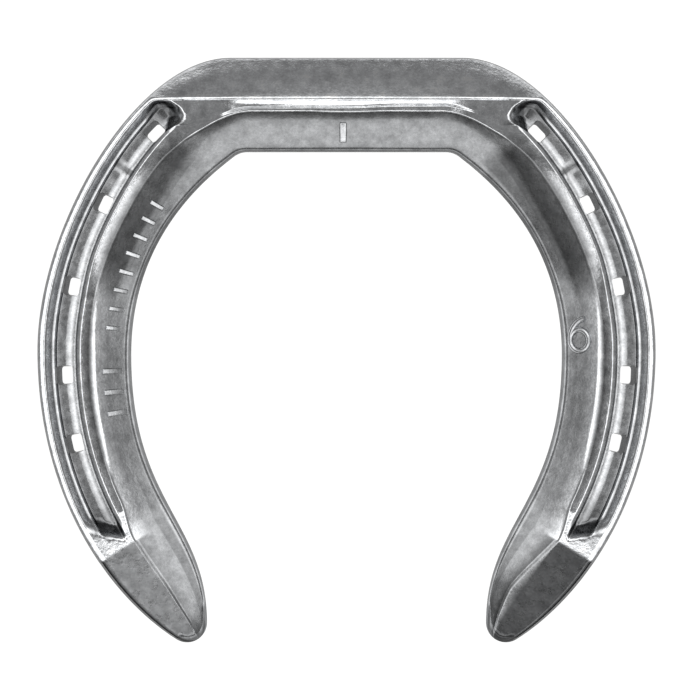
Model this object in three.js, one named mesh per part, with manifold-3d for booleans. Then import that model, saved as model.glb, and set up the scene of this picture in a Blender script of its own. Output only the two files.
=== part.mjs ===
// A forged aluminium racing plate: a horseshoe pressed from one bar of metal.
// It lies with its foot surface down at z = 0 and its ground surface up.
// The toe points along +Y, the heels along -Y, and it is symmetric about x = 0.
// Every place along a branch is given as a run, the distance along the outer edge from
// the middle of the toe. Every place across the web is a reach, the distance from the
// outer edge towards the opening.
import * as THREE from 'three';
import { mergeVertices } from 'three/addons/utils/BufferGeometryUtils.js';
import Module from 'manifold-3d';

const wasm = await Module();
wasm.setup();

// ---- Driving dimensions, in millimetres and degrees ----

// Outline
const shoeWidth = 128;
const shoeLength = 121;
const thickness = 8;
const toeWeb = 19.6;
const branchWeb = 19.5;
const toeFlatWidth = 48;
const innerToeFlatWidth = 41;
const innerCornerSize = 3.2;
const heelGap = 57.7;
const heelTipRadius = 4.15;
const tipStartDegrees = -58;
const innerWidestY = -1;

// How far the handles of the outline's curves reach, as shares of the stretch they bend
const outerToeHandle = 0.49;
const outerFrontHandle = 0.42;
const outerBackHandle = 0.52;
const outerTipHandle = 0.24;
const innerCornerDrop = 0.4;
const innerCornerHandle = 0.56;
const innerToeHandle = 0.45;
const innerToeHandleDrop = 0.82;
const innerFrontHandle = 0.49;
const innerBackHandle = 0.51;
const innerTipHandle = 0.35;

// Outer wall and rim
const wallDraft = 0.6;
const toeWallDraft = 0.3;
const wallShare = 0.6;
const rimSetback = 0.75;
const rimWidth = 0.6;
const rimEdgeHeight = 0.6;

// Rolled toe
const rollReach = 8.5;
const rollSlope = 0.68;
const rollCrown = 0.55;
const rollBlend = 1.2;
const crownShare = 0.45;
const crownFrom = 2;

// Land, the flat that touches the ground, and the bevel down to the opening
const landReach = 10.8;
const toeLandExtra = 0.6;
const cornerLandExtra = 1.9;
const landMargin = 0.3;
const landEdgeDrop = 0.3;
const landEdgeWidth = 1.1;
const innerWallHeight = 4.3;
const innerWallDraft = 0.6;
const innerWallShare = 0.62;

// Where the inner bevel bends, as a share of its width, and how far it has fallen there,
// as a share of its drop: once on a branch and once across the toe
const branchBend = { across: 0.42, fall: 0.5 };
const toeBend = { across: 0.14, fall: 0.42 };
const lowerBend = { across: 0.5, fall: 0.56 };

// Where along the run, as a share of the crease's start, the toe's shape fades out and
// the wide land at its corners begins and ends
const toeFade = { from: 0.7, to: 1.7 };
const cornerRise = { from: 0.2, to: 0.9 };
const cornerFall = { from: 1, to: 1.6 };

// Crease that holds the nail heads
const creaseDepth = 3.7;
const creaseWidth = 6.7;
const creaseUpperWallWidth = 1.9;
const creaseUpperWallDrop = 1.5;
const creaseEndLength = 1.8;
const creaseStart = 39.3;
const creaseHeelMargin = 24.8;
const creaseNose = 3.4;
const creaseNoseMiddle = 0.4;
const creaseFloorStart = { across: 0.12, depth: 0.8 };
const creaseFloorMiddle = 0.62;
const creaseFloorEnd = { across: 0.84, depth: 0.95 };

// Nail holes
const nailReach = 6.3;
const firstNailSetback = 8.4;
const lastNailMargin = 23.7;
const nailsPerBranch = 5;
const lastPitchShare = 0.77;
const nailHoleWidth = 2.1;
const nailHoleLength = 3.5;
const nailMouthWidth = 3.3;
const nailMouthLength = 3.9;

// Heels: a short flat that tilts towards the heel, then the facet down to the tip
const heelFlatLength = 7.7;
const heelFlatDrop = 1;
const facetLength = 22.6;
const facetDrop = 2;
const facetReach = 9.3;

// Raised marks on the inner bevel: a toe centre bar, a size numeral on the right branch
// and two groups of plain bars on the left branch. How far a mark reaches across the web,
// and where its middle is from the bevel's foot, are shares of the bevel it stands on.
const markHeight = 0.35;
const markRoot = 0.8;
const markStroke = 0.5;
const toeBarWidth = 1.4;
const toeBarAcross = 0.63;
const toeBarMiddle = 0.508;
const toeBarOffset = -0.7;
const numeralHeight = 7.1;
const numeralAcross = 0.6;
const numeralMiddle = 0.414;
const numeralRun = 97.6;
const bowlShare = 0.31;
const tailStart = 0.55;
const tailEnd = 0.05;
const barMiddle = 0.457;
const barGroups = [
  { start: 62, count: 8, pitch: 4.85, width: 1, across: 0.443 },
  { start: 106.8, count: 3, pitch: 5.3, width: 1.2, across: 0.6 },
];

// Station lines: they aim at a point on the middle line that slides with their own Y
const aimSlope = 0.25;
const aimSetback = 1.5;
const aimLowest = -0.21;
const aimHighest = 0.11;
const leastSquareness = 0.5;
const leastToeFall = 0.2;

// Fineness of the mesh
const runStep = 3.2;
const cornerStep = 1.5;
const endStep = 0.9;
const tipSteps = 7;
const tipFlat = 0.35;
const markSegments = 7;
const cutOver = 1;
const searchRounds = 40;
const normalStep = 0.4;
const mergeTolerance = 0.0001;

// ---- Outline curves, one half ----

const halfWidth = shoeWidth / 2;
const toeY = shoeLength / 2;
const heelY = -toeY;
const heelHalfGap = heelGap / 2;
const innerHalfWidth = halfWidth - branchWeb;
const innerToeY = toeY - toeWeb;
const tipCentre = new THREE.Vector2(heelHalfGap + heelTipRadius, heelY + heelTipRadius);

// The tip's arc starts where the outer edge meets it and ends on the inner edge.
const tipStartAngle = THREE.MathUtils.degToRad(tipStartDegrees);
const tipEndAngle = -Math.PI;
const tipApexAngle = (tipStartAngle + tipEndAngle) / 2;

function at(x, y) {
  return new THREE.Vector2(x, y);
}

function onTip(angle) {
  return at(
    tipCentre.x + heelTipRadius * Math.cos(angle),
    tipCentre.y + heelTipRadius * Math.sin(angle),
  );
}

function tipArc(from, to, clockwise) {
  return new THREE.EllipseCurve(
    tipCentre.x, tipCentre.y, heelTipRadius, heelTipRadius, from, to, clockwise, 0,
  );
}

function makeOuterEdge() {
  const flatEnd = toeFlatWidth / 2;
  const tip = onTip(tipStartAngle);
  const tipHandle = outerTipHandle * halfWidth;
  const edge = new THREE.CurvePath();
  edge.add(new THREE.LineCurve(at(0, toeY), at(flatEnd, toeY)));
  edge.add(new THREE.CubicBezierCurve(
    at(flatEnd, toeY),
    at(flatEnd + outerToeHandle * (halfWidth - flatEnd), toeY),
    at(halfWidth, outerFrontHandle * toeY),
    at(halfWidth, 0),
  ));
  edge.add(new THREE.CubicBezierCurve(
    at(halfWidth, 0),
    at(halfWidth, outerBackHandle * heelY),
    at(tip.x - tipHandle * Math.sin(tipStartAngle), tip.y + tipHandle * Math.cos(tipStartAngle)),
    tip,
  ));
  edge.add(tipArc(tipStartAngle, tipApexAngle, true));
  return edge;
}

function makeInnerEdge() {
  const flatEnd = innerToeFlatWidth / 2;
  const cornerEnd = at(flatEnd + innerCornerSize, innerToeY - innerCornerDrop * innerCornerSize);
  const edge = new THREE.CurvePath();
  edge.add(new THREE.LineCurve(at(0, innerToeY), at(flatEnd, innerToeY)));
  edge.add(new THREE.QuadraticBezierCurve(
    at(flatEnd, innerToeY),
    at(flatEnd + innerCornerHandle * innerCornerSize, innerToeY),
    cornerEnd,
  ));
  edge.add(new THREE.CubicBezierCurve(
    cornerEnd,
    at(
      cornerEnd.x + innerToeHandle * (innerHalfWidth - cornerEnd.x),
      innerToeHandleDrop * cornerEnd.y,
    ),
    at(innerHalfWidth, innerFrontHandle * innerToeY),
    at(innerHalfWidth, innerWidestY),
  ));
  edge.add(new THREE.CubicBezierCurve(
    at(innerHalfWidth, innerWidestY),
    at(innerHalfWidth, innerWidestY + innerBackHandle * heelY),
    at(heelHalfGap, tipCentre.y - innerTipHandle * heelY),
    at(heelHalfGap, tipCentre.y),
  ));
  edge.add(tipArc(-tipEndAngle, -tipEndAngle + tipApexAngle - tipEndAngle, false));
  return edge;
}

const outerEdge = makeOuterEdge();
const innerEdge = makeInnerEdge();
const outerLength = outerEdge.getLength();
const tipRun = outerLength - heelTipRadius * (tipStartAngle - tipApexAngle);
const creaseEnd = tipRun - creaseHeelMargin;
const facetStart = tipRun - facetLength;
const heelFlatStart = facetStart - heelFlatLength;

// ---- Small helpers ----

function ramp(from, to, value) {
  return THREE.MathUtils.smoothstep(value, from, to);
}

function mix(a, b, share) {
  return a + (b - a) * share;
}

function softMax(a, b, softness) {
  return 0.5 * (a + b + Math.hypot(a - b, softness));
}

// ---- Stations: straight lines across the web ----

// A station's line aims at a point on the middle line that slides towards the heels,
// so that it crosses the web squarely all the way round.
function aimPoint(outer) {
  const aim = aimSlope * outer.y - aimSetback;
  return at(0, THREE.MathUtils.clamp(aim, aimLowest * toeY, aimHighest * toeY));
}

function innerShareOnLine(outer, towards) {
  let low = 0;
  let high = 1;
  for (let round = 0; round < searchRounds; round += 1) {
    const share = (low + high) / 2;
    const inner = innerEdge.getPoint(share);
    const side = towards.x * (inner.y - outer.y) - towards.y * (inner.x - outer.x);
    if (side > 0) {
      high = share;
    } else {
      low = share;
    }
  }
  return (low + high) / 2;
}

function lineFrom(run) {
  const outer = outerEdge.getPoint(Math.min(run, outerLength) / outerLength);
  const towards = aimPoint(outer).sub(outer).normalize();
  return { outer, towards, share: innerShareOnLine(outer, towards) };
}

const tipShare = lineFrom(tipRun).share;

// The outer edge's inward normal, for reaches that keep a true distance to the edge.
function inwardNormal(run) {
  const before = outerEdge.getPoint(Math.max(run - normalStep, 0) / outerLength);
  const after = outerEdge.getPoint(Math.min(run + normalStep, outerLength) / outerLength);
  const along = after.sub(before).normalize();
  return at(along.y, -along.x);
}

function stationAt(run) {
  const { outer, share } = lineFrom(run);
  const pastTip = THREE.MathUtils.clamp((run - tipRun) / (outerLength - tipRun), 0, 1);
  const inner = innerEdge.getPoint(pastTip > 0 ? mix(tipShare, 1, pastTip) : share);
  const across = inner.sub(outer);
  const web = across.length();
  across.normalize();
  const square = Math.max(across.dot(inwardNormal(Math.min(run, tipRun))), leastSquareness);
  const toRollLine = (outer.y - (toeY - rollReach)) / Math.max(-across.y, leastToeFall);
  const rim = softMax(rimSetback / square, toRollLine, rollBlend);
  return { run, outer, across, web, square, rim };
}

function pointAt(station, reach, height) {
  return new THREE.Vector3(
    station.outer.x + station.across.x * reach,
    station.outer.y + station.across.y * reach,
    height,
  );
}

// ---- Height of the ground side ----

// How much of the toe's shape a station has: 1 in the middle of the toe, 0 on a branch.
function toeShare(run) {
  return 1 - ramp(toeFade.from, toeFade.to, run / creaseStart);
}

// The ground side is level as far as the heel flat, which tilts a little. The facet then
// falls to the tip.
function landHeight(run) {
  const onFlat = THREE.MathUtils.clamp((run - heelFlatStart) / heelFlatLength, 0, 1);
  const onFacet = Math.max(run - facetStart, 0) / facetLength;
  return thickness - heelFlatDrop * onFlat - facetDrop * onFacet;
}

// The land is widest at the corners of the toe, ahead of the crease.
function landReachAt(run) {
  const share = run / creaseStart;
  const corner = ramp(cornerRise.from, cornerRise.to, share)
    - ramp(cornerFall.from, cornerFall.to, share);
  const heel = ramp(creaseEnd, facetStart, run);
  return mix(landReach + toeLandExtra * toeShare(run) + cornerLandExtra * corner,
    facetReach, heel);
}

// The crease is full depth between its two ends. Each end is a rounded nose: across the
// crease's width, from 0 at the rim to 1 at the land, the depth starts later or ends sooner.
function creaseShare(run, width) {
  const front = creaseStart + creaseNose * width * width;
  const back = creaseEnd - creaseNose * Math.abs(width - creaseNoseMiddle);
  return Math.min(
    ramp(front, front + creaseEndLength, run),
    1 - ramp(back - creaseEndLength, back, run),
  );
}

// The ring of points round a section, from the outer bottom edge over the top
// to the inner bottom edge. Each has a reach across the web and a height.
// Where the web narrows towards the heel tips, every reach narrows with it.
function sectionRing(station) {
  const { run, web, square } = station;
  const fit = Math.min(1, web / branchWeb);
  const toe = toeShare(run);
  const land = landHeight(run);
  const rim = station.rim * fit;
  const wall = Math.min(mix(wallDraft, toeWallDraft, toe) * fit, wallShare * rim);
  const wallTop = land - rimEdgeHeight - rollSlope * Math.max(rim - rimSetback / square, 0);
  const landEnd = landReachAt(run) * fit;
  const bevelStart = landEnd + landEdgeWidth * fit;
  const bevelEnd = web - innerWallDraft * fit;
  const bevelTop = land - landEdgeDrop;
  const bevelFoot = Math.min(innerWallHeight, innerWallShare * land);
  const bend = mix(branchBend.across, toeBend.across, toe);
  const breakReach = mix(bevelStart, bevelEnd, bend);
  const breakHeight = mix(bevelTop, bevelFoot, mix(branchBend.fall, toeBend.fall, toe));
  const creaseFrom = rim + rimWidth * fit;
  const creaseTo = Math.min(creaseFrom + creaseWidth * fit, landEnd - landMargin * fit);
  const creasePoint = (width, drop) => ({
    reach: mix(creaseFrom, creaseTo, width),
    height: land - drop * creaseShare(run, width),
  });
  const upper = creaseUpperWallWidth / creaseWidth;
  return [
    { reach: 0, height: 0 },
    { reach: wall, height: wallTop },
    {
      reach: mix(wall, rim, crownShare),
      height: mix(wallTop, land, crownShare) + rollCrown * ramp(crownFrom, rollReach, rim),
    },
    { reach: rim, height: land },
    creasePoint(0, 0),
    creasePoint(upper, creaseUpperWallDrop),
    creasePoint(upper + creaseFloorStart.across, creaseFloorStart.depth * creaseDepth),
    creasePoint(creaseFloorMiddle, creaseDepth),
    creasePoint(creaseFloorEnd.across, creaseFloorEnd.depth * creaseDepth),
    creasePoint(1, 0),
    { reach: landEnd, height: land },
    { reach: bevelStart, height: bevelTop },
    { reach: breakReach, height: breakHeight },
    {
      reach: mix(breakReach, bevelEnd, lowerBend.across),
      height: mix(breakHeight, bevelFoot, lowerBend.fall),
    },
    { reach: bevelEnd, height: bevelFoot },
    { reach: web, height: 0 },
  ];
}

// ---- Solids ----

// A closed mesh as a solid. On side -1 it is mirrored to the left branch, which turns its
// faces inside out, so two corners of each triangle change places.
function solidFrom(geometry, side = 1) {
  const bare = geometry.clone();
  bare.deleteAttribute('normal');
  bare.deleteAttribute('uv');
  const merged = mergeVertices(bare, mergeTolerance);
  const points = new Float32Array(merged.attributes.position.array);
  const corners = new Uint32Array(merged.index.array);
  if (side < 0) {
    for (let x = 0; x < points.length; x += 3) {
      points[x] = -points[x];
    }
    for (let first = 0; first < corners.length; first += 3) {
      [corners[first], corners[first + 1]] = [corners[first + 1], corners[first]];
    }
  }
  return new wasm.Manifold(new wasm.Mesh({
    numProp: 3,
    vertProperties: points,
    triVerts: corners,
  }));
}

function geometryFrom(solid) {
  const mesh = solid.getMesh();
  const geometry = new THREE.BufferGeometry();
  geometry.setAttribute('position', new THREE.BufferAttribute(mesh.vertProperties, 3));
  geometry.setIndex(new THREE.BufferAttribute(mesh.triVerts, 1));
  geometry.computeVertexNormals();
  return geometry;
}

// The runs at which the body has a section: closer round the toe's corner, at the ends of
// the crease and round the tip than along the branch.
function stationRuns() {
  const creaseEndsIn = creaseNose + creaseEndLength;
  const stretches = [
    { to: toeFlatWidth / 2, step: runStep },
    { to: creaseStart, step: cornerStep },
    { to: creaseStart + creaseEndsIn, step: endStep },
    { to: creaseEnd - creaseEndsIn, step: runStep },
    { to: creaseEnd, step: endStep },
    { to: facetStart, step: cornerStep },
    { to: tipRun, step: runStep },
  ];
  const runs = [];
  let from = 0;
  for (const { to, step } of stretches) {
    const steps = Math.max(1, Math.ceil((to - from) / step));
    for (let index = 0; index < steps; index += 1) {
      runs.push(mix(from, to, index / steps));
    }
    from = to;
  }
  for (let index = 0; index <= tipSteps; index += 1) {
    runs.push(mix(tipRun, outerLength - tipFlat, Math.sin(0.5 * Math.PI * index / tipSteps)));
  }
  return runs;
}

// The body of both branches in one closed skin: the left branch mirrors the right one.
function makeBlank() {
  const half = stationRuns().map((run) => {
    const station = stationAt(run);
    return sectionRing(station).map(({ reach, height }) => pointAt(station, reach, height));
  });
  const mirrored = half.slice(1).reverse().map(
    (ring) => ring.map((point) => new THREE.Vector3(-point.x, point.y, point.z)),
  );
  const rings = [...mirrored, ...half];
  const count = rings[0].length;
  const faces = [];
  for (let ring = 0; ring < rings.length - 1; ring += 1) {
    for (let corner = 0; corner < count; corner += 1) {
      const a = ring * count + corner;
      const b = ring * count + (corner + 1) % count;
      faces.push(a, b, b + count, a, b + count, a + count);
    }
  }
  const lastRing = (rings.length - 1) * count;
  for (let corner = 1; corner < count - 1; corner += 1) {
    faces.push(0, corner + 1, corner);
    faces.push(lastRing, lastRing + corner, lastRing + corner + 1);
  }
  const geometry = new THREE.BufferGeometry().setFromPoints(rings.flat());
  geometry.setIndex(faces);
  return solidFrom(geometry);
}

// Turns and moves a shape from the middle of its own axes to a place on the web: its X
// points back along the branch to the toe, its Y across the web towards the opening, and
// its Z up from the web at the given slope.
function placeOnWeb(geometry, run, reach, height, slope) {
  const station = stationAt(run);
  const along = new THREE.Vector3(station.across.y, -station.across.x, 0);
  const across = new THREE.Vector3(station.across.x, station.across.y, slope).normalize();
  const place = new THREE.Matrix4().makeBasis(along, across, along.clone().cross(across));
  place.setPosition(pointAt(station, reach, height));
  return geometry.applyMatrix4(place);
}

// A nail hole is a block that widens from the foot surface to its mouth in the crease
// floor, towards the outer edge only, and goes straight up from there.
function nailHoleCutter(run, side) {
  const geometry = new THREE.BoxGeometry(1, 1, 1, 1, 1, 2);
  const levels = [
    { width: nailHoleWidth, length: nailHoleLength, height: -cutOver },
    { width: nailMouthWidth, length: nailMouthLength, height: thickness - creaseDepth },
    { width: nailMouthWidth, length: nailMouthLength, height: thickness + cutOver },
  ];
  const position = geometry.attributes.position;
  for (let index = 0; index < position.count; index += 1) {
    const { width, length, height } = levels[Math.round(2 * position.getZ(index)) + 1];
    const outward = (width - nailHoleWidth) / 2;
    position.setXYZ(
      index,
      position.getX(index) * length,
      position.getY(index) * width - outward,
      height,
    );
  }
  return solidFrom(placeOnWeb(geometry, run, nailReach, 0, 0), side);
}

// The nail holes are evenly spaced, except that the last one is closer to its neighbour.
function nailRuns() {
  const first = creaseStart + firstNailSetback;
  const last = creaseEnd - lastNailMargin;
  const pitch = (last - first) / (nailsPerBranch - 2 + lastPitchShare);
  const runs = [];
  for (let nail = 0; nail < nailsPerBranch - 1; nail += 1) {
    runs.push(first + pitch * nail);
  }
  return [...runs, last];
}

// ---- Raised marks ----

const bevelMargins = landReach + landEdgeWidth + innerWallDraft;
const branchBevel = branchWeb - bevelMargins;
const toeBevel = toeWeb - toeLandExtra - bevelMargins;

// A mark stands on the inner bevel, at the height and slope of the section there. Its
// inset is the distance from its middle to the inner edge.
function raiseMark(shape, run, inset, side) {
  const geometry = new THREE.ExtrudeGeometry(shape, {
    depth: markRoot + markHeight,
    bevelEnabled: false,
    curveSegments: markSegments,
  });
  geometry.translate(0, 0, -markRoot);
  const station = stationAt(run);
  const reach = station.web - inset;
  const ring = sectionRing(station);
  const next = ring.findIndex((point) => point.reach > reach);
  const low = ring[next - 1];
  const high = ring[next];
  const slope = (high.height - low.height) / (high.reach - low.reach);
  const height = low.height + slope * (reach - low.reach);
  return solidFrom(placeOnWeb(geometry, run, reach, height, slope), side);
}

// A bar's length lies across the web.
function barShape(length, width) {
  const shape = new THREE.Shape();
  const straight = (length - width) / 2;
  shape.moveTo(-width / 2, -straight);
  shape.lineTo(-width / 2, straight);
  shape.absarc(0, straight, width / 2, Math.PI, 0, true);
  shape.lineTo(width / 2, -straight);
  shape.absarc(0, -straight, width / 2, 0, -Math.PI, true);
  return shape;
}

// The band that a pen of the stroke's width leaves along a curve.
function strokeShape(curve, steps) {
  const left = [];
  const right = [];
  for (let step = 0; step <= steps; step += 1) {
    const point = curve.getPoint(step / steps);
    const tangent = curve.getTangent(step / steps).multiplyScalar(markStroke / 2);
    left.push(at(point.x - tangent.y, point.y + tangent.x));
    right.push(at(point.x + tangent.y, point.y - tangent.x));
  }
  return new THREE.Shape([...left, ...right.reverse()]);
}

// The size numeral, a six: a bowl and a tail that leaves the bowl's left side.
// It stands upright with the toe at the top, so its own up is the branch's X.
function numeralShapes() {
  const half = markStroke / 2;
  const bowlX = numeralAcross * branchBevel / 2 - half;
  const bowlY = bowlShare * numeralHeight;
  const bowlUp = bowlY + half - numeralHeight / 2;
  const tailUp = numeralHeight / 2 - half - bowlUp;
  const bowl = new THREE.Shape().absellipse(
    bowlUp, 0, bowlY + half, bowlX + half, 0, 2 * Math.PI, false,
  );
  bowl.holes.push(new THREE.Path().absellipse(
    bowlUp, 0, bowlY - half, bowlX - half, 0, 2 * Math.PI, false,
  ));
  const tail = new THREE.EllipseCurve(
    bowlUp, -bowlX, tailUp, 2 * bowlX, tailStart * Math.PI, tailEnd * Math.PI, true,
  );
  return [bowl, strokeShape(tail, markSegments)];
}

function makeMarks() {
  const toeBar = new THREE.Shape(barShape(toeBarAcross * toeBevel, toeBarWidth)
    .getPoints(markSegments).map((point) => at(point.x - toeBarOffset, point.y)));
  const marks = [raiseMark(toeBar, 0, innerWallDraft + toeBarMiddle * toeBevel, 1)];
  const numeralInset = innerWallDraft + numeralMiddle * branchBevel;
  for (const shape of numeralShapes()) {
    marks.push(raiseMark(shape, numeralRun, numeralInset, 1));
  }
  const barInset = innerWallDraft + barMiddle * branchBevel;
  for (const { start, count, pitch, width, across } of barGroups) {
    for (let bar = 0; bar < count; bar += 1) {
      const shape = barShape(across * branchBevel, width);
      marks.push(raiseMark(shape, start + pitch * bar, barInset, -1));
    }
  }
  return marks;
}

// ---- The plate ----

function makePlate() {
  let plate = makeBlank();
  for (const mark of makeMarks()) {
    plate = plate.add(mark);
  }
  for (const run of nailRuns()) {
    plate = plate.subtract(nailHoleCutter(run, 1)).subtract(nailHoleCutter(run, -1));
  }
  return plate;
}

const bareAluminium = new THREE.MeshStandardMaterial({
  color: 0xa9abad,
  roughness: 0.34,
  metalness: 1,
});

const forgedShoe = new THREE.Mesh(geometryFrom(makePlate()), bareAluminium);
forgedShoe.name = 'forged_shoe';

const horseshoe = new THREE.Group();
horseshoe.add(forgedShoe);

export default horseshoe;
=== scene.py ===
# %% [markdown]
# # A forged aluminium racing plate
# A racing plate is a light horseshoe. It is pressed from one bar of aluminium in a die,
# so the whole shoe is a single piece of metal, and this lesson makes a single mesh.
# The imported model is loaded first. It fixes where the shoe lies and how big it is.

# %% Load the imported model
import math
from bisect import bisect_right

import bmesh
import bpy
from mathutils import Matrix, Vector, noise
from mathutils.geometry import interpolate_bezier


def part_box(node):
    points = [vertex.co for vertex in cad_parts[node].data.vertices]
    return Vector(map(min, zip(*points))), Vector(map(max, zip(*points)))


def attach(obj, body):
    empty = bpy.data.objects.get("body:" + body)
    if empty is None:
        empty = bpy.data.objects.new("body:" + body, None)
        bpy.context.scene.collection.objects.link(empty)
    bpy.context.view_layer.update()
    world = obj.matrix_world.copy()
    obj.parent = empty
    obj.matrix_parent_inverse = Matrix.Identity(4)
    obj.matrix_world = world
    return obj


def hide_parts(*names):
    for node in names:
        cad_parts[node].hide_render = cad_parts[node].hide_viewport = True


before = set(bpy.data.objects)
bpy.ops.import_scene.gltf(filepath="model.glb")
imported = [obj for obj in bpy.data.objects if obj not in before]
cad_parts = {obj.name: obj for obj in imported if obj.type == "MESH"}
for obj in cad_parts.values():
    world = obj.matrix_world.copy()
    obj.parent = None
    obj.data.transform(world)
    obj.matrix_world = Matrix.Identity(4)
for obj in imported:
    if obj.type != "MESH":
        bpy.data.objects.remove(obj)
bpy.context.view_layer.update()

plate_low, plate_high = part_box("forged_shoe")
MM = 0.001
plate_size = (plate_high - plate_low) / MM
print("shoe, mm:", [round(side, 2) for side in plate_size])

# %% [markdown]
# ## The outline
# Seen from above, the shoe is a band between two edges: the outer edge follows the wall
# of the hoof, and the inner edge leaves room for the frog. Both are straight across the
# squared toe and curved along the branches. Bezier curves give such lines with very few
# numbers, so each edge is a straight stretch, one or two Bezier curves and the arc round
# the heel tip. All lengths in these cells are in millimetres.

# %% Sizes of the outline
half_width = plate_size.x / 2
toe_y = plate_size.y / 2
heel_y = -toe_y
thickness = plate_size.z
branch_web = 19.5
inner_half_width = half_width - branch_web
inner_toe_y = toe_y - 19.6
toe_flat = 24
inner_toe_flat = 20.5
inner_corner = 3.2
heel_half_gap = 28.85
tip_radius = 4.15
tip_centre = Vector((heel_half_gap + tip_radius, heel_y + tip_radius))
tip_start = math.radians(-58)
tip_end = -math.pi
tip_apex = (tip_start + tip_end) / 2


def on_tip(angle):
    return tip_centre + tip_radius * Vector((math.cos(angle), math.sin(angle)))


def curve(*corners, steps=400):
    return interpolate_bezier(*[Vector(corner) for corner in corners], steps)


def tip_arc(start, end, steps=80):
    return [on_tip(start + (end - start) * step / steps) for step in range(steps + 1)]


# %% [markdown]
# A long edge is kept as closely spaced points with the distance to each one. This
# distance, the run, starts at the middle of the toe. It is the handiest way to say where
# something is on a horseshoe, because every feature follows the outer edge.

# %% The two edges
class LongEdge:
    def __init__(self, points):
        self.points = [Vector(points[0])]
        self.runs = [0.0]
        for point in map(Vector, points[1:]):
            step = (point - self.points[-1]).length
            if step > 1e-6:
                self.points.append(point)
                self.runs.append(self.runs[-1] + step)
        self.length = self.runs[-1]

    def at(self, run):
        run = min(max(run, 0.0), self.length)
        index = min(max(bisect_right(self.runs, run), 1), len(self.runs) - 1)
        before, after = self.runs[index - 1], self.runs[index]
        share = (run - before) / (after - before)
        return self.points[index - 1].lerp(self.points[index], share)


tip_handle = 0.24 * half_width
tip_tangent = Vector((-math.sin(tip_start), math.cos(tip_start)))
outer_edge = LongEdge(
    [(0, toe_y), (toe_flat, toe_y)]
    + curve((toe_flat, toe_y), (toe_flat + 0.49 * (half_width - toe_flat), toe_y),
            (half_width, 0.42 * toe_y), (half_width, 0))
    + curve((half_width, 0), (half_width, 0.52 * heel_y),
            on_tip(tip_start) + tip_handle * tip_tangent, on_tip(tip_start))
    + tip_arc(tip_start, tip_apex)
)
corner_end = Vector((inner_toe_flat + inner_corner, inner_toe_y - 0.4 * inner_corner))
corner_knee = Vector((inner_toe_flat + 0.56 * inner_corner, inner_toe_y))
widest_y = -1
inner_edge = LongEdge(
    [(0, inner_toe_y), (inner_toe_flat, inner_toe_y)]
    + curve((inner_toe_flat, inner_toe_y),
            Vector((inner_toe_flat, inner_toe_y)).lerp(corner_knee, 2 / 3),
            corner_end.lerp(corner_knee, 2 / 3), corner_end)
    + curve(corner_end,
            (corner_end.x + 0.45 * (inner_half_width - corner_end.x), 0.82 * corner_end.y),
            (inner_half_width, 0.49 * inner_toe_y), (inner_half_width, widest_y))
    + curve((inner_half_width, widest_y), (inner_half_width, widest_y + 0.51 * heel_y),
            (heel_half_gap, tip_centre.y - 0.35 * heel_y), (heel_half_gap, tip_centre.y))
    + tip_arc(tip_end, tip_apex)
)
tip_run = outer_edge.length - tip_radius * (tip_start - tip_apex)
crease_start = 39.3
crease_end = tip_run - 24.8
facet_start = tip_run - 22.6
print("outer edge from toe to tip, mm:", round(outer_edge.length, 2))
print("heel facet starts at run, mm:", round(facet_start, 2))

# %% [markdown]
# ## Stations
# A station is a straight line across the band, about square to it. Everything on the
# shoe's upper side is then a matter of two numbers: the run along the outer edge and the
# reach across the band. A station also knows where its ridge is. On a branch that is the
# narrow rim beside the outer edge. Across the toe it moves inwards to a straight line,
# which makes the rolled toe, and the two are blended so that the ridge has no kink.

# %% Ramps and blends
def ramp(start, end, value):
    share = min(max((value - start) / (end - start), 0.0), 1.0)
    return share * share * (3 - 2 * share)


def mix(a, b, share):
    return a + (b - a) * share


def hump(start, full, fade, end, value):
    return ramp(start, full, value) - ramp(fade, end, value)


def soft_max(a, b, softness):
    return 0.5 * (a + b + math.hypot(a - b, softness))


# %% Find the stations
rim_setback = 0.95
roll_reach = 8.5
ridge_blend = 0.55


def inner_run_on(outer, towards):
    low, high = 0.0, inner_edge.length
    for _ in range(36):
        middle = (low + high) / 2
        inner = inner_edge.at(middle)
        if towards.x * (inner.y - outer.y) - towards.y * (inner.x - outer.x) > 0:
            high = middle
        else:
            low = middle
    return middle


def line_from(run):
    outer = outer_edge.at(run)
    aim = Vector((0, min(max(0.25 * outer.y - 1.5, 0.21 * heel_y), 0.11 * toe_y)))
    towards = (aim - outer).normalized()
    return outer, inner_run_on(outer, towards)


tip_inner_run = line_from(tip_run)[1]


class Station:
    def __init__(self, run, side):
        self.run, self.side = run, side
        self.outer, inner_run = line_from(run)
        if run > tip_run:
            past = (run - tip_run) / (outer_edge.length - tip_run)
            inner_run = mix(tip_inner_run, inner_edge.length, past)
        across = inner_edge.at(inner_run) - self.outer
        self.web = across.length
        self.across = across.normalized()
        near = min(run, tip_run)
        along = outer_edge.at(near + 0.4) - outer_edge.at(near - 0.4)
        inward = Vector((along.y, -along.x)).normalized()
        self.square = max(self.across.dot(inward), 0.5)
        to_roll = (self.outer.y - (toe_y - roll_reach)) / max(-self.across.y, 0.2)
        self.rim = soft_max(rim_setback / self.square, to_roll, ridge_blend)
        self.fit = min(1.0, self.web / branch_web)

    def point(self, reach, height):
        place = self.outer + reach * self.across
        return Vector((self.side * place.x, place.y, height)) * MM


# %% [markdown]
# ## The cross-section
# The crease is the groove that holds the nail heads. Beside it, towards the opening, lies
# the land, and from the land a bevel falls to the thin inner wall. A smith would describe
# the section by its corners, and so does this lesson. The first cell gives the heights and
# widths that change along the branch, and the corners follow from them.

# %% Heights and widths along the branch
heel_flat_start = 140.8
heel_flat_slope = 0.13
facet_fall = 2
land_reach = 10.9
facet_reach = 9.3
crease_depth = 3.75


def toe_share(run):
    return 1 - ramp(0.7 * crease_start, 1.7 * crease_start, run)


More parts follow.
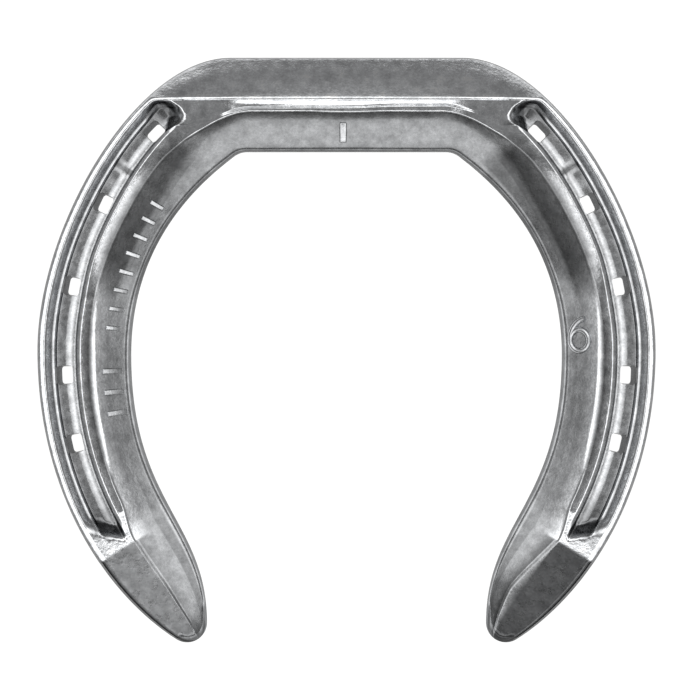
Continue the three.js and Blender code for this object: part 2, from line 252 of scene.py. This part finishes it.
def top_height(run):
    heel_flat = min(max(run - heel_flat_start, 0), facet_start - heel_flat_start)
    facet = max(run - facet_start, 0) / (tip_run - facet_start)
    return thickness - heel_flat_slope * heel_flat - facet_fall * facet


def land_end_reach(run, side):
    corner = hump(0.2, 0.85, 0.9, 1.35, run / crease_start)
    heel = ramp(crease_end - 8, facet_start, run)
    down_facet = min(max(run - facet_start, 0) / (tip_run - facet_start), 1)
    wide = facet_reach + 4.6 * down_facet - 2 * ramp(164, tip_run + 2, run)
    narrow = facet_reach - 0.6 * ramp(160, tip_run, run)
    at_tip = wide if side > 0 else narrow
    return mix(land_reach + 0.5 * toe_share(run) + 1.3 * corner, at_tip, heel)


def crease_share(run, width):
    front = crease_start + 10 * (width - 0.35) ** 2
    back = crease_end + 1.2 - 6.5 * abs(width - 0.8)
    return min(ramp(front, front + 1.6 + 3 * width, run), 1 - ramp(back - 5, back, run))


def floor_depth(run):
    shallow = 1 - ramp(56.6, 60.2, run)
    pocket = 0.4 * hump(39, 42, 43.5, 47, run) + 0.3 * hump(57.6, 60, 61, 65, run)
    return crease_depth - 0.75 * shallow + 0.9 * pocket


def tip_limit(place):
    offset = place - tip_centre
    from_edge = tip_radius - Vector((offset.x, min(offset.y, 0))).length
    return 4.5 * min(max(from_edge, 0), 1) + 0.5 * ramp(1.0, 1.7, from_edge)


# %% [markdown]
# The shape changes along the shoe: the toe, the crease's nose, the upper branch, the heel
# flat and the heel facet each have their own. Each zone is a number from 0 to 1 that says
# how much of it there is at a run. Its ends are soft, so one shape flows into the next.
# A section works out its zones and its main measures once, and keeps them.

# %% Zones and main measures of a section
class Section:
    def __init__(self, station):
        run, fit = station.run, station.fit
        self.run, self.web, self.fit = run, station.web, fit
        self.left = station.side < 0
        self.toe = toe_share(run)
        self.facet = ramp(facet_start - 0.4, facet_start + 0.4, run)
        self.heel = ramp(facet_start - 8, facet_start + 8, run)
        self.upper = hump(41, 47, 78, 92, run)
        self.slanted = hump(48, 62, 78, 92, run)
        self.strip = 1 - ramp(26, 31, run)
        self.nose = 1 - ramp(42.5, 48, run)
        self.top = top_height(run)
        self.rim = station.rim * fit + 0.35 * self.facet
        self.roll = max(self.rim - rim_setback / station.square, 0)
        self.land_end = land_end_reach(run, station.side) * fit
        self.start = self.rim + mix(0.75, 0.6, self.toe) * fit
        self.end = min(self.rim + mix(8.2, 7.7, self.upper) * fit,
                       self.land_end - 0.35 * fit)
        self.open_share = 1 - crease_share(run, 0.4 if run < 100 else 0.7)
        heel_flat = ramp(138, 142, run) * (1 - self.facet)
        corner_land = 0.8 * hump(26, 31, 41, 47, run)
        self.rubbed = mix(0.4, 1, max(self.upper, self.strip, heel_flat, corner_land))

    def surface(self, reach):
        past_lip = max(reach - self.end, 0)
        past_ridge = max(reach - self.rim, 0)
        rolled_off = 0.2 * self.strip * min(past_ridge, 1.5)
        return self.top - rolled_off - 0.25 * self.slanted * past_lip

    def settle(self, reach, height):
        if not self.start < reach < self.land_end:
            return height
        share = min((reach - self.start) / (self.end - self.start), 1)
        return mix(self.surface(reach), height, crease_share(self.run, share))


# %% [markdown]
# The next three cells give the corners from the outer edge to the inner one. The six
# numbers of a corner are its reach, its height, its rounding, the parts in the stretch
# after it, how bright its finish is, and its painted light: a factor on the colour that
# paints shade where it is below 1 and light where it is above. First come the outer wall
# and the rim.

# %% Corners of the outer wall and the rim
def wall_corners(cut):
    fit, toe, facet, rim, top = cut.fit, cut.toe, cut.facet, cut.rim, cut.top
    wall = min(mix(0.7, 0.3, toe) * fit + 0.1 * facet, 0.6 * rim)
    wall_top = top - 0.6 - 0.68 * cut.roll
    rolled = ramp(2, roll_reach, rim)
    rim_drop = mix(0.24, 0.0, max(toe, facet))
    # The last number paints shade into the colour: the foot surface and the outer wall are
    # darkened, and more so beside the heel facet.
    return [
        (0.9 * fit, 0, 0, 1, 0.3, 0.6),
        (0, 0, 0.3, 4, 0.1, 0.4),
        (0.88 * wall, 0.88 * wall_top, 0.1, 1, mix(0.28, 0.8, toe), mix(0.6, 0.75, toe)),
        (wall, wall_top, mix(0.25, 0.35, toe), 3, mix(0.3, 0.9, toe) * (1 - facet),
         mix(mix(0.65, 0.8, toe), 0.15, facet)),
        (mix(wall, rim, 0.45), mix(wall_top, top, 0.45) + 0.5 * rolled, 2.5, 3,
         mix(0.4, 0.95, toe) * (1 - facet), mix(mix(0.8, 1, toe), 0.15, facet)),
        (rim, top - rim_drop, 0.28, 2, mix(1, 0.1, facet), mix(1, 0.5, facet)),
    ]


# %% [markdown]
# The crease has a steep wall towards the outer edge, a stepped floor and a gentler wall
# towards the land. Where there is no crease, the settle step above lifts its corners to
# the surface, and their brightness becomes that of the plain surface.

# %% Corners of the crease
def crease_corners(cut):
    nose, strip = cut.nose, cut.strip
    depth = floor_depth(cut.run)
    plain = mix(cut.rubbed, 0.05, cut.facet)
    # Painted light: on the heel facet the colour is made lighter on the left half and
    # darker on the right, and the crease floor gets painted shade at the nose and at the
    # heel end.
    painted_light = mix(1, mix(0.36, 1.15, cut.left), cut.facet)
    shadowed = max(nose, ramp(132, 143, cut.run)) * (1 - cut.open_share)
    crease_floor_painted_light = painted_light * mix(1, 0.45, shadowed)

    def crease(share, drop):
        return mix(cut.start, cut.end, share), cut.top - drop

    def finish(amount):
        return mix(amount, plain, cut.open_share)

    return [
        (cut.start, cut.surface(cut.start), 0.25, 2, finish(0.9), painted_light),
        (*crease(mix(0.2, 0.1, nose), mix(1.5, 2.6, nose)), 0.14, 1, finish(0.3), painted_light),
        (*crease(mix(0.28, 0.16, nose), mix(1.66, 2.9, nose)), 0.1, 1,
         finish(mix(0.8, 0.2, nose)), painted_light),
        (*crease(mix(0.33, 0.26, nose), depth - 0.1), 0.2, 2, finish(0.1), crease_floor_painted_light),
        (*crease(0.58, depth), 0.3, 2, finish(0.3), crease_floor_painted_light),
        (*crease(0.71, depth - 0.2), 0.12, 1, finish(0.6), crease_floor_painted_light),
        (*crease(0.77, depth - 0.34), 0.06, 1, finish(0.3), crease_floor_painted_light),
        (*crease(0.83, depth - 0.38), 0.06, 1, finish(0.5), crease_floor_painted_light),
        (*crease(0.87, depth - 0.5), 0.12, 2, finish(0.3), crease_floor_painted_light),
        (*crease(0.915, 0.42), 0.14, 1, mix(finish(0.95), 0.4, strip), painted_light),
        (*crease(1, 0.06), 0.12, 2, mix(finish(0.95), 0.4, strip), painted_light),
    ]


# %% [markdown]
# The land ends in a small crest. From there the bevel falls in two slopes, with a break
# between them, to the inner wall, which goes straight down to the foot surface.

# %% Corners of the land, the bevel and the inner wall
def bevel_corners(cut):
    fit, toe, facet, upper, left = cut.fit, cut.toe, cut.facet, cut.upper, cut.left
    web, land_end = cut.web, cut.land_end
    crest_width = (0.3 + 0.95 * hump(80, 105, 121, 137, cut.run) + 0.35 * facet) * fit
    crest_end = land_end + crest_width
    bevel_end = web - mix(0.65, 0.35, toe) * fit
    break_share = mix(mix(0.5, 0.6, upper), 0.17, toe)
    break_at = mix(crest_end, bevel_end, break_share)
    land_top = cut.surface(land_end)
    bevel_top = land_top - mix(0.3, 0.1, upper)
    bevel_foot = min(mix(4.2, 4.9, toe), 0.62 * cut.top)
    break_drop = mix(mix(0.53, 0.85, upper), 0.32, toe)
    break_height = mix(bevel_top, bevel_foot, break_drop)
    # The last numbers carry painted light: a duller finish with painted shade on the land
    # edge between runs 80 and 137, painted shade on the upper branch bevel (darker on the
    # right branch) and at the toe, and painted shade on the heel facet bevel, darker on
    # the right.
    dull_shaded_land_band = hump(80, 100, 124, 137, cut.run)
    dull_and_shaded = max(upper, toe)
    shade = mix(1, mix(0.52, 0.95, left), upper)
    return [
        (land_end, land_top, 0.25, 1,
         mix(mix(max(cut.rubbed, 0.6), 0.15, dull_shaded_land_band), 0.25, max(facet, upper)),
         mix(1, 0.5, max(dull_shaded_land_band, upper))),
        (crest_end, bevel_top, mix(0.35, 0.8, upper), 1,
         mix(mix(1, 0.1, dull_and_shaded), 0.55, facet),
         mix(mix(1, 0.4, dull_and_shaded), 0.65, facet)),
        (mix(crest_end, break_at, 0.12), mix(bevel_top, break_height, 0.12), 0.1, 2,
         mix(0.85, 0.15, max(dull_and_shaded, facet)),
         mix(mix(0.95, 0.55, dull_and_shaded), mix(0.4, 0.7, left), facet)),
        (break_at, break_height, 1.3, 3, mix(0.3, 0.1, dull_and_shaded),
         mix(mix(0.85, 0.55, upper), 0.8, cut.heel) * shade),
        (mix(break_at, bevel_end, 0.5), mix(break_height, bevel_foot, 0.53), 1.4, 3,
         0.2, mix(0.8, 0.65, max(cut.heel, upper)) * shade),
        (bevel_end, bevel_foot, 0.7, 3, mix(0.6, 0.2, dull_and_shaded), mix(0.85, 0.7, dull_and_shaded)),
        (web, 0, 0.3, 1, mix(0.7, 0.25, dull_and_shaded), mix(0.8, 0.65, dull_and_shaded)),
        (web - 0.9 * fit, 0, 0, 1, 0.3, 0.6),
    ]


# %% [markdown]
# A forging has no sharp corners: metal doesn't flow into them. So each corner is rounded
# here, with a short curve that touches both of its straight neighbours. Every section
# gets the same number of points, which is what lets them line up as one smooth skin.

# %% Round the corners
def rounded_section(corners, arc=3):
    spots = [Vector(corner[:2]) for corner in corners]
    path = []
    for index, (spot, corner) in enumerate(zip(spots, corners)):
        finish = Vector(corner[4:6])
        if index in (0, len(spots) - 1):
            path.append((spot, finish))
            continue
        back = spots[index - 1] - spot
        ahead = spots[index + 1] - spot
        cut = min(corner[2], 0.45 * back.length, 0.45 * ahead.length)
        first = spot + back.normalized() * cut
        last = spot + ahead.normalized() * cut
        for step in range(arc + 1):
            share = step / arc
            place = first.lerp(spot, share).lerp(spot.lerp(last, share), share)
            path.append((place, finish))
    return path


def filled_section(cut, arc=3):
    corners = wall_corners(cut) + crease_corners(cut) + bevel_corners(cut)
    rounded = [(Vector((spot.x, cut.settle(*spot))), finish)
               for spot, finish in rounded_section(corners, arc)]
    filled = [rounded[0]]
    index = 1
    for corner_index, corner in enumerate(corners[:-1]):
        here, here_finish = filled[-1]
        ahead, ahead_finish = rounded[index]
        parts = corner[3]
        for part in range(1, parts):
            share = part / parts
            filled.append((here.lerp(ahead, share), here_finish.lerp(ahead_finish, share)))
        last_corner = corner_index == len(corners) - 2
        filled.extend(rounded[index:index + (1 if last_corner else arc + 1)])
        index += arc + 1
    return filled


# %% [markdown]
# ## Where the stations go
# The skin needs many stations where the shape changes quickly, at the two ends of the
# crease and at the step in its floor, and few along the plain branch.

# %% Choose the runs
stretches = [
    (toe_flat, 0.9), (38, 0.5), (46, 0.23), (57.3, 0.5), (59.2, 0.16),
    (138, 0.62), (149.4, 0.23), (tip_run, 0.5),
]
runs = []
start = 0.0
for end, step in stretches:
    count = math.ceil((end - start) / step)
    runs += [mix(start, end, index / count) for index in range(count)]
    start = end
tip_steps = 16
for index in range(tip_steps + 1):
    turn = math.sin(0.5 * math.pi * index / tip_steps)
    runs.append(mix(tip_run, outer_edge.length - 0.12, turn))
stations = [Station(run, -1) for run in reversed(runs[1:])]
stations += [Station(run, 1) for run in runs]
sections = [filled_section(Section(station)) for station in stations]
print("stations:", len(stations), "points in a section:", len(sections[0]))

# %% [markdown]
# ## Hand work on the skin
# The die leaves a trim line beside the toe's ridge, and no forged face is quite flat.
# Both are small changes of height, so they are added to the points of the sections.
# Noise from mathutils gives the same bumps every time.

# %% Trim line and forged unevenness
trim_depth = 0.2
trim_width = 0.17
trim_setback = 1.05
trim_slant = 0.013


def trim_line(station, reach):
    depth = trim_depth * (1 - ramp(27, 34, station.run))
    land_end = land_end_reach(station.run, station.side)
    middle = land_end - trim_setback - trim_slant * station.side * station.outer.x
    return -depth * math.exp(-((reach - middle) / trim_width) ** 2)


swell_scale = 160
grain_scale = 520


def unevenness(place, bright, run):
    slow = noise.noise(place * swell_scale)
    fine = noise.noise(place * grain_scale)
    calm = mix(1, 0.45, ramp(138, facet_start, run))
    return calm * mix(0.024, 0.01, bright) * slow + mix(0.007, 0.003, bright) * fine


# %% Shape the skin
skin = bmesh.new()
columns, rows = len(stations) - 1, len(sections[0]) - 1
bmesh.ops.create_grid(skin, x_segments=columns, y_segments=rows, size=1)
# The finish attribute holds two numbers at each corner: the polish, and the painted light
# that darkens or lightens the colour.
finish_and_shade_layer = skin.loops.layers.float_color.new("finish")
finish_and_shade_values = {}
for vert in skin.verts:
    column = round((vert.co.x + 1) / 2 * columns)
    row = round((vert.co.y + 1) / 2 * rows)
    station = stations[column]
    (reach, height), finish = sections[column][row]
    if 2 < row < rows - 2:
        height += trim_line(station, reach)
        height += unevenness(station.point(reach, height), finish.x, station.run)
        if station.run > tip_run:
            height = min(height, tip_limit(station.outer + reach * station.across))
    vert.co = station.point(reach, min(height, thickness))
    finish_and_shade_values[vert.index] = (finish.x, finish.y, 0, 1)
skin.verts.index_update()
for face in skin.faces:
    for loop in face.loops:
        loop[finish_and_shade_layer] = finish_and_shade_values[loop.vert.index]
print("skin:", len(skin.verts), "vertices")

# %% [markdown]
# The two long free borders of the skin are now joined by the flat foot surface, which
# needs only one row of faces, and the two small ends at the heel tips are filled.

# %% Close the foot surface and the tips
in_row = columns + 1
first_row = [edge for edge in skin.edges
             if all(vert.index < in_row for vert in edge.verts)]
last_row = [edge for edge in skin.edges
            if all(vert.index >= rows * in_row for vert in edge.verts)]
bmesh.ops.bridge_loops(skin, edges=first_row + last_row)
ends = [edge for edge in skin.edges if edge.is_boundary]
bmesh.ops.holes_fill(skin, edges=ends)
bmesh.ops.recalc_face_normals(skin, faces=skin.faces)
for face in skin.faces:
    face.smooth = True
print("open edges:", sum(not edge.is_manifold for edge in skin.edges))


def as_object(shape, name):
    mesh = bpy.data.meshes.new(name)
    shape.to_mesh(mesh)
    shape.free()
    made = bpy.data.objects.new(name, mesh)
    bpy.context.scene.collection.objects.link(made)
    return made


plate = as_object(skin, "forged_plate")

# %% [markdown]
# ## Nail holes
# Each nail hole is punched with a rectangular tool that is wider at the top, so the hole's
# outer wall leans. The tool is modelled as a cube whose upright edges are rounded and
# whose rings of corners are then moved to the widths wanted at each height.

# %% Punch tools for the nail holes
hole_width = 2.1
hole_length = 3.5
# Hole walls: a dull finish with painted shade (0.7) that darkens their colour.
hole_wall_finish_and_shade = (0.25, 0.7, 0, 1)


def add_part(whole, part):
    mesh = bpy.data.meshes.new("part")
    part.to_mesh(mesh)
    part.free()
    whole.from_mesh(mesh)
    bpy.data.meshes.remove(mesh)


def punch(run, reach, side):
    tool = bmesh.new()
    bmesh.ops.create_cube(tool, size=1)
    bmesh.ops.bisect_plane(tool, geom=[*tool.verts, *tool.edges, *tool.faces], dist=1e-6,
                           plane_co=(0, 0, 0), plane_no=(0, 0, 1))
    upright = [edge for edge in tool.edges
               if abs(edge.verts[0].co.z - edge.verts[1].co.z) > 0.1]
    bmesh.ops.bevel(tool, geom=upright, offset=0.2, segments=4, profile=0.5,
                    affect="EDGES", material=-1)
    below, waist, above = (hole_width, hole_length, -1), (3.3, 3.9, 4.35), (3.35, 4.0, 9)
    levels = {-1: below, 0: waist, 1: above}
    station = Station(run, side)
    along = Vector((station.across.y, -station.across.x))
    for vert in tool.verts:
        width, length, height = levels[round(2 * vert.co.z)]
        x, y = vert.co.x * length, vert.co.y * width - (width - hole_width) / 2
        place = station.outer + station.across * (reach + y) + along * x
        vert.co = Vector((side * place.x, place.y, height)) * MM
    return tool


tools = bmesh.new()
nail_places = [(47.6, 6.75), (67.8, 6.3), (87.5, 6.2), (107.3, 6.3), (122.6, 6.3)]
for run, reach in nail_places:
    for side in (-1, 1):
        add_part(tools, punch(run, reach, side))
bmesh.ops.recalc_face_normals(tools, faces=tools.faces)
hole_finish_and_shade_layer = tools.loops.layers.float_color.new("finish")
for face in tools.faces:
    for loop in face.loops:
        loop[hole_finish_and_shade_layer] = hole_wall_finish_and_shade
punches = as_object(tools, "punches")
print("nail holes:", 2 * len(nail_places))

# %% [markdown]
# ## Raised marks
# The die also leaves raised marks on the inner bevel: a bar at the middle of the toe, the
# size numeral on the right branch, and on the left branch two rows of small bars. A bar
# is a cube with rounded edges. The numeral is a round rod spun into a ring for the bowl
# and into a quarter ring for the tail, both then stretched a little.

# %% Make and place the marks
branch_radius = 55
mark_height = 0.9
mark_reach = 15.7
numeral_run = 97.6
numeral_reach = 16
numeral_stretch = 1.19
marks = bmesh.new()
mark_finish_and_shade_layer = marks.loops.layers.float_color.new("finish")


def section_height(section, reach):
    upper_side = [point for point, _ in section[4:-4]]
    for low_point, high_point in zip(upper_side, upper_side[1:]):
        if high_point.x > reach:
            share = (reach - low_point.x) / max(high_point.x - low_point.x, 1e-6)
            return mix(low_point.y, high_point.y, share)
    return upper_side[-1].y


def lay_on_web(mark, run, reach, side):
    station = Station(run, side)
    section = filled_section(Section(station))
    along = Vector((station.across.y, -station.across.x))
    for vert in mark.verts:
        x, y, z = vert.co
        place = station.outer + station.across * (reach + y) + along * x
        bend = x * x / (2 * branch_radius)
        height = section_height(section, reach + y - bend) + z
        vert.co = Vector((side * place.x, place.y, height)) * MM
    add_part(marks, mark)


def raised_bar(width, length, run, reach, side, shift=0.0):
    bar = bmesh.new()
    bmesh.ops.create_cube(bar, size=1)
    bmesh.ops.scale(bar, vec=(width, length, mark_height), verts=bar.verts)
    bmesh.ops.bevel(bar, geom=bar.edges[:], offset=0.24, segments=3, profile=0.5,
                    affect="EDGES", material=-1)
    bmesh.ops.translate(bar, vec=(shift, 0, -0.05), verts=bar.verts)
    lay_on_web(bar, run, reach, side)


def raised_arc(radius, start, angle, centre):
    rod = bmesh.new()
    bmesh.ops.create_circle(rod, segments=12, radius=0.5,
                            matrix=Matrix.Rotation(math.pi / 2, 4, "X"))
    bmesh.ops.translate(rod, vec=(radius, 0, 0), verts=rod.verts)
    turn = Matrix.Rotation(start, 3, "Z")
    bmesh.ops.rotate(rod, cent=(0, 0, 0), matrix=turn, verts=rod.verts)
    full = abs(angle) > 6
    bmesh.ops.spin(rod, geom=[*rod.verts, *rod.edges], cent=(0, 0, 0), axis=(0, 0, 1),
                   angle=angle, steps=36 if full else 14, use_merge=full)
    bmesh.ops.holes_fill(rod, edges=[edge for edge in rod.edges if edge.is_boundary])
    bmesh.ops.scale(rod, vec=(numeral_stretch, 1, 1), verts=rod.verts)
    bmesh.ops.translate(rod, vec=(*centre, 0.14), verts=rod.verts)
    lay_on_web(rod, numeral_run, numeral_reach, 1)


raised_bar(1.45, 4.1, 0, mark_reach, 1, shift=0.7)
bar_rows = [(62, 4.85, 8, 1, 3.1), (106.8, 5.3, 3, 1.2, 4.2)]
for start, pitch, count, width, length in bar_rows:
    for index in range(count):
        raised_bar(width, length, start + pitch * index, mark_reach, -1)
bowl = 1.85
raised_arc(bowl, 0, math.tau, (-1.1, 0))
raised_arc(2 * bowl, 0.55 * math.pi, -0.5 * math.pi, (-1.1, -bowl))
bmesh.ops.recalc_face_normals(marks, faces=marks.faces)
# The marks get a fairly bright finish and a slight painted shade (0.95).
for face in marks.faces:
    face.smooth = True
    for loop in face.loops:
        loop[mark_finish_and_shade_layer] = (0.6, 0.95, 0, 1)
raised = as_object(marks, "raised")
print("mark vertices:", len(raised.data.vertices))

# %% [markdown]
# ## Join the marks and cut the holes
# A Boolean modifier does both. Its result is made a plain mesh straight away, so that the
# finished plate has no live modifiers and the tools can be removed.

# %% Apply the Booleans
def machine(piece, tool, operation):
    modifier = piece.modifiers.new(operation, "BOOLEAN")
    modifier.object = tool
    modifier.operation = operation
    modifier.solver = "MANIFOLD"
    view = bpy.context.evaluated_depsgraph_get()
    mesh = bpy.data.meshes.new_from_object(piece.evaluated_get(view))
    piece.modifiers.clear()
    piece.data = mesh
    bpy.data.objects.remove(tool)


machine(plate, raised, "UNION")
machine(plate, punches, "DIFFERENCE")
plate.data.set_sharp_from_angle(angle=math.radians(48))
print("plate:", len(plate.data.polygons), "faces")

# %% [markdown]
# ## The metal
# Forged aluminium has two looks. The skin from the die is gray, a little rough and
# mottled. Edges and lands that are trimmed and tumbled are bright. Both are one metallic
# shader here, and the first of the finish notes that each corner carries decides between
# them. The second note is painted light: it multiplies the colour, painting shade on the
# walls, the crease floor, the hole walls and the bevels, and making one heel facet lighter
# than the other.
# Noise on Object coordinates breaks up the colour, the roughness and the height.

# %% Nodes of the forged aluminium
metal = bpy.data.materials.new("forged_aluminium")
metal.use_nodes = True
nodes, links = metal.node_tree.nodes, metal.node_tree.links
shader = nodes["Principled BSDF"]
shader.inputs["Metallic"].default_value = 1
shader.inputs["Specular Tint"].default_value = (0.3, 0.3, 0.3, 1)
coords = nodes.new("ShaderNodeTexCoord").outputs["Object"]


def spots_of(scale, detail, low, high, roughness=0.6):
    texture = nodes.new("ShaderNodeTexNoise")
    texture.inputs["Scale"].default_value = scale
    texture.inputs["Detail"].default_value = detail
    texture.inputs["Roughness"].default_value = roughness
    links.new(coords, texture.inputs["Vector"])
    spread = nodes.new("ShaderNodeMapRange")
    spread.inputs["From Min"].default_value = 0.3
    spread.inputs["From Max"].default_value = 0.7
    spread.inputs["To Min"].default_value = low
    spread.inputs["To Max"].default_value = high
    links.new(texture.outputs["Fac"], spread.inputs["Value"])
    return spread.outputs["Result"]


def product_of(a, b):
    node = nodes.new("ShaderNodeMath")
    node.operation = "MULTIPLY"
    for socket, value in zip(node.inputs, (a, b)):
        if isinstance(value, (int, float)):
            socket.default_value = value
        else:
            links.new(value, socket)
    return node.outputs["Value"]


def blend_of(share, low, high):
    node = nodes.new("ShaderNodeMapRange")
    node.inputs["To Min"].default_value = low
    node.inputs["To Max"].default_value = high
    links.new(share, node.inputs["Value"])
    return node.outputs["Result"]


finish = nodes.new("ShaderNodeAttribute")
finish.attribute_name = "finish"
parts = nodes.new("ShaderNodeSeparateColor")
links.new(finish.outputs["Color"], parts.inputs["Color"])
bright, painted_light = parts.outputs["Red"], parts.outputs["Green"]

# %% Colour, roughness and height
mottle = spots_of(420, 6, 0.72, 1.2)
grain = spots_of(2200, 3, 0.86, 1.12)
# Painted light: the second finish number multiplies the colour.
value = product_of(blend_of(bright, 0.26, 0.92), painted_light)
value = product_of(value, product_of(mottle, grain))
colour = nodes.new("ShaderNodeCombineColor")
for socket, tint in zip(colour.inputs, (0.985, 1.0, 1.02)):
    links.new(product_of(value, tint), socket)
links.new(colour.outputs["Color"], shader.inputs["Base Color"])
rough = product_of(blend_of(bright, 0.3, 0.12), spots_of(700, 4, 0.8, 1.25))
links.new(rough, shader.inputs["Roughness"])
bump = nodes.new("ShaderNodeBump")
bump.inputs["Strength"].default_value = 0.5
bump.inputs["Distance"].default_value = 0.00003
links.new(spots_of(1500, 5, 0, 1), bump.inputs["Height"])
links.new(bump.outputs["Normal"], shader.inputs["Normal"])
plate.data.materials.clear()
plate.data.materials.append(metal)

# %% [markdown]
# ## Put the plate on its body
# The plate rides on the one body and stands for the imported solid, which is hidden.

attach(plate, "root")
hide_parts("forged_shoe")

# %% [markdown]
# ## Floor, light and camera
# A polished metal shows its surroundings, so the light matters as much as the metal. The
# shoe lies on a pale light table. Above it the studio is dim right at the lens, bright in
# a soft ring round it, and darker lower down, as with a ring of soft boxes.

# %% Light table
table_reach = 90
table = bmesh.new()
bmesh.ops.create_grid(table, x_segments=1, y_segments=1, size=table_reach)
floor = as_object(table, "light_table")
pale = bpy.data.materials.new("pale_table")
pale.use_nodes = True
pale_shader = pale.node_tree.nodes["Principled BSDF"]
pale_shader.inputs["Base Color"].default_value = (0.1, 0.1, 0.1, 1)
pale_shader.inputs["Roughness"].default_value = 0.9
pale_shader.inputs["Emission Color"].default_value = (1, 1, 1, 1)
pale_shader.inputs["Emission Strength"].default_value = 1
floor.data.materials.append(pale)

# %% Soft studio light
world = bpy.data.worlds.new("soft_studio")
bpy.context.scene.world = world
world.use_nodes = True
sky, sky_links = world.node_tree.nodes, world.node_tree.links
direction = sky.new("ShaderNodeTexCoord").outputs["Generated"]
split = sky.new("ShaderNodeSeparateXYZ")
sky_links.new(direction, split.inputs["Vector"])
ring = sky.new("ShaderNodeValToRGB")
ring.color_ramp.interpolation = "EASE"
levels = [(90, 0.14), (76, 0.12), (64, 0.15), (52, 0.32), (43, 0.8), (36, 1), (19, 1),
          (13, 0.12), (0, 0.12)]
while len(ring.color_ramp.elements) < len(levels):
    ring.color_ramp.elements.new(0.5)
for stop, (tilt, level) in zip(ring.color_ramp.elements, levels):
    stop.position = math.cos(math.radians(tilt))
    stop.color = (level, level, level, 1)
sky_links.new(split.outputs["Z"], ring.inputs["Fac"])
background = sky["Background"]
background.inputs["Strength"].default_value = 1.6
sky_links.new(ring.outputs["Color"], background.inputs["Color"])
bpy.context.scene.view_settings.view_transform = "Standard"

# %% Camera straight above
lens = bpy.data.cameras.new("overhead_camera")
lens.lens = 400
lens.clip_end = 500
camera = bpy.data.objects.new("overhead_camera", lens)
bpy.context.scene.collection.objects.link(camera)
frame_width = 0.1445
frame_shift = 0.00072
middle_height = 0.004
camera_height = frame_width / 2 / (lens.sensor_width / 2 / lens.lens)
camera.location = (frame_shift, 0, camera_height + middle_height)
bpy.context.scene.camera = camera
print("camera height, m:", round(camera_height, 3))
